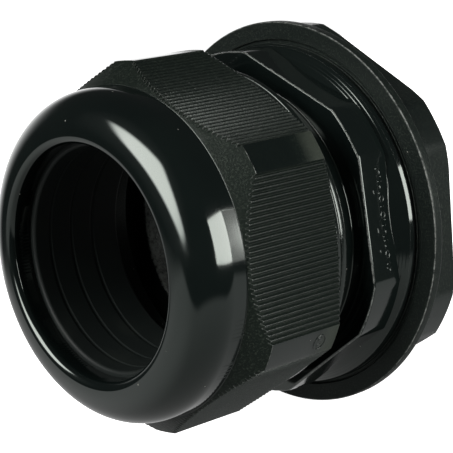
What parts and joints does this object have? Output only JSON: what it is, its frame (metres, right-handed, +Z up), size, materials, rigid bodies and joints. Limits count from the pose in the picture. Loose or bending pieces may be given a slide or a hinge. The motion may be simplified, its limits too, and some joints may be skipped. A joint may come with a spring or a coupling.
{
  "type": "cable gland",
  "caption": "Polyamide cable gland: domed sealing nut with ribbed flats, clamping cage and rubber insert in a hexagonal body, entry thread with gasket and flanged locknut.",
  "frame": {"origin": "on the gland's axis, in the plane where the gasket's rear face meets the panel", "axes": "+Y along the cable axis from the dome to the entry thread's free end; +Z up; +X to the right seen from the dome, square to one flat of the body's hexagon"},
  "size_m": [0.0822, 0.0719, 0.0822],
  "materials": {
    "body_polyamide": "glossy moulded black",
    "cap_polyamide": "glossy dome, satin ribbed flats",
    "cage_polyamide": "satin moulded black",
    "seal_rubber": "matte moulded rubber",
    "gasket_rubber": "smooth semi-gloss rubber",
    "locknut_polyamide": "satin moulded dark grey"
  },
  "bodies": {
    "gland": {"gland_body": "body_polyamide", "cage_ring": "cage_polyamide"},
    "seal": {"sealing_insert": "seal_rubber"},
    "cap": {"dome_nut": "cap_polyamide"},
    "washer": {"gasket": "gasket_rubber"},
    "nut": {"locknut": "locknut_polyamide"},
    "finger_01": {"clamping_finger_01": "cage_polyamide"},
    "finger_02": {"clamping_finger_02": "cage_polyamide"},
    "finger_03": {"clamping_finger_03": "cage_polyamide"},
    "finger_04": {"clamping_finger_04": "cage_polyamide"},
    "finger_05": {"clamping_finger_05": "cage_polyamide"},
    "finger_06": {"clamping_finger_06": "cage_polyamide"},
    "finger_07": {"clamping_finger_07": "cage_polyamide"},
    "finger_08": {"clamping_finger_08": "cage_polyamide"},
    "finger_09": {"clamping_finger_09": "cage_polyamide"},
    "finger_10": {"clamping_finger_10": "cage_polyamide"},
    "finger_11": {"clamping_finger_11": "cage_polyamide"},
    "finger_12": {"clamping_finger_12": "cage_polyamide"},
    "finger_13": {"clamping_finger_13": "cage_polyamide"},
    "finger_14": {"clamping_finger_14": "cage_polyamide"}
  },
  "joints": [
    {"name": "cap_travel", "type": "slide", "parent": "gland", "child": "seal", "axis": [0, 1, 0], "range_m": [0, 0.005]},
    {"name": "cap_turn", "type": "hinge", "parent": "seal", "child": "cap", "pos_m": [0, -0.03, 0], "axis": [0, 1, 0], "range_deg": [0, 900]},
    {"name": "locknut_turn", "type": "hinge", "parent": "gland", "child": "washer", "pos_m": [0, 0, 0], "axis": [0, 1, 0], "range_deg": [0, 1200]},
    {"name": "locknut_travel", "type": "slide", "parent": "washer", "child": "nut", "axis": [0, 1, 0], "range_m": [0, 0.005]},
    {"name": "finger_01_bend", "type": "hinge", "parent": "gland", "child": "finger_01", "pos_m": [0, -0.0327, 0.02785], "axis": [1, 0, 0], "range_deg": [0, 8.32]},
    {"name": "finger_02_bend", "type": "hinge", "parent": "gland", "child": "finger_02", "pos_m": [0.01209, -0.0327, 0.0251], "axis": [0.901, 0, -0.4339], "range_deg": [0, 8.32]},
    {"name": "finger_03_bend", "type": "hinge", "parent": "gland", "child": "finger_03", "pos_m": [0.02178, -0.0327, 0.01737], "axis": [0.6235, 0, -0.7818], "range_deg": [0, 8.32]},
    {"name": "finger_04_bend", "type": "hinge", "parent": "gland", "child": "finger_04", "pos_m": [0.02716, -0.0327, 0.0062], "axis": [0.2225, 0, -0.9749], "range_deg": [0, 8.32]},
    {"name": "finger_05_bend", "type": "hinge", "parent": "gland", "child": "finger_05", "pos_m": [0.02716, -0.0327, -0.0062], "axis": [-0.2225, 0, -0.9749], "range_deg": [0, 8.32]},
    {"name": "finger_06_bend", "type": "hinge", "parent": "gland", "child": "finger_06", "pos_m": [0.02178, -0.0327, -0.01737], "axis": [-0.6235, 0, -0.7818], "range_deg": [0, 8.32]},
    {"name": "finger_07_bend", "type": "hinge", "parent": "gland", "child": "finger_07", "pos_m": [0.01209, -0.0327, -0.0251], "axis": [-0.901, 0, -0.4339], "range_deg": [0, 8.32]},
    {"name": "finger_08_bend", "type": "hinge", "parent": "gland", "child": "finger_08", "pos_m": [0, -0.0327, -0.02785], "axis": [-1, 0, 0], "range_deg": [0, 8.32]},
    {"name": "finger_09_bend", "type": "hinge", "parent": "gland", "child": "finger_09", "pos_m": [-0.01209, -0.0327, -0.0251], "axis": [-0.901, 0, 0.4339], "range_deg": [0, 8.32]},
    {"name": "finger_10_bend", "type": "hinge", "parent": "gland", "child": "finger_10", "pos_m": [-0.02178, -0.0327, -0.01737], "axis": [-0.6235, 0, 0.7818], "range_deg": [0, 8.32]},
    {"name": "finger_11_bend", "type": "hinge", "parent": "gland", "child": "finger_11", "pos_m": [-0.02716, -0.0327, -0.0062], "axis": [-0.2225, 0, 0.9749], "range_deg": [0, 8.32]},
    {"name": "finger_12_bend", "type": "hinge", "parent": "gland", "child": "finger_12", "pos_m": [-0.02716, -0.0327, 0.0062], "axis": [0.2225, 0, 0.9749], "range_deg": [0, 8.32]},
    {"name": "finger_13_bend", "type": "hinge", "parent": "gland", "child": "finger_13", "pos_m": [-0.02178, -0.0327, 0.01737], "axis": [0.6235, 0, 0.7818], "range_deg": [0, 8.32]},
    {"name": "finger_14_bend", "type": "hinge", "parent": "gland", "child": "finger_14", "pos_m": [-0.01209, -0.0327, 0.0251], "axis": [0.901, 0, 0.4339], "range_deg": [0, 8.32]}
  ],
  "couplings": [
    {"joint": "cap_travel", "follows": "cap_turn", "m_per_rad": 0.00031831},
    {"joint": "locknut_travel", "follows": "locknut_turn", "m_per_rad": 0.00023873},
    {"joint": "finger_01_bend", "follows": "cap_turn", "ratio": 0.0092344},
    {"joint": "finger_02_bend", "follows": "cap_turn", "ratio": 0.0092344},
    {"joint": "finger_03_bend", "follows": "cap_turn", "ratio": 0.0092344},
    {"joint": "finger_04_bend", "follows": "cap_turn", "ratio": 0.0092344},
    {"joint": "finger_05_bend", "follows": "cap_turn", "ratio": 0.0092344},
    {"joint": "finger_06_bend", "follows": "cap_turn", "ratio": 0.0092344},
    {"joint": "finger_07_bend", "follows": "cap_turn", "ratio": 0.0092344},
    {"joint": "finger_08_bend", "follows": "cap_turn", "ratio": 0.0092344},
    {"joint": "finger_09_bend", "follows": "cap_turn", "ratio": 0.0092344},
    {"joint": "finger_10_bend", "follows": "cap_turn", "ratio": 0.0092344},
    {"joint": "finger_11_bend", "follows": "cap_turn", "ratio": 0.0092344},
    {"joint": "finger_12_bend", "follows": "cap_turn", "ratio": 0.0092344},
    {"joint": "finger_13_bend", "follows": "cap_turn", "ratio": 0.0092344},
    {"joint": "finger_14_bend", "follows": "cap_turn", "ratio": 0.0092344}
  ]
}
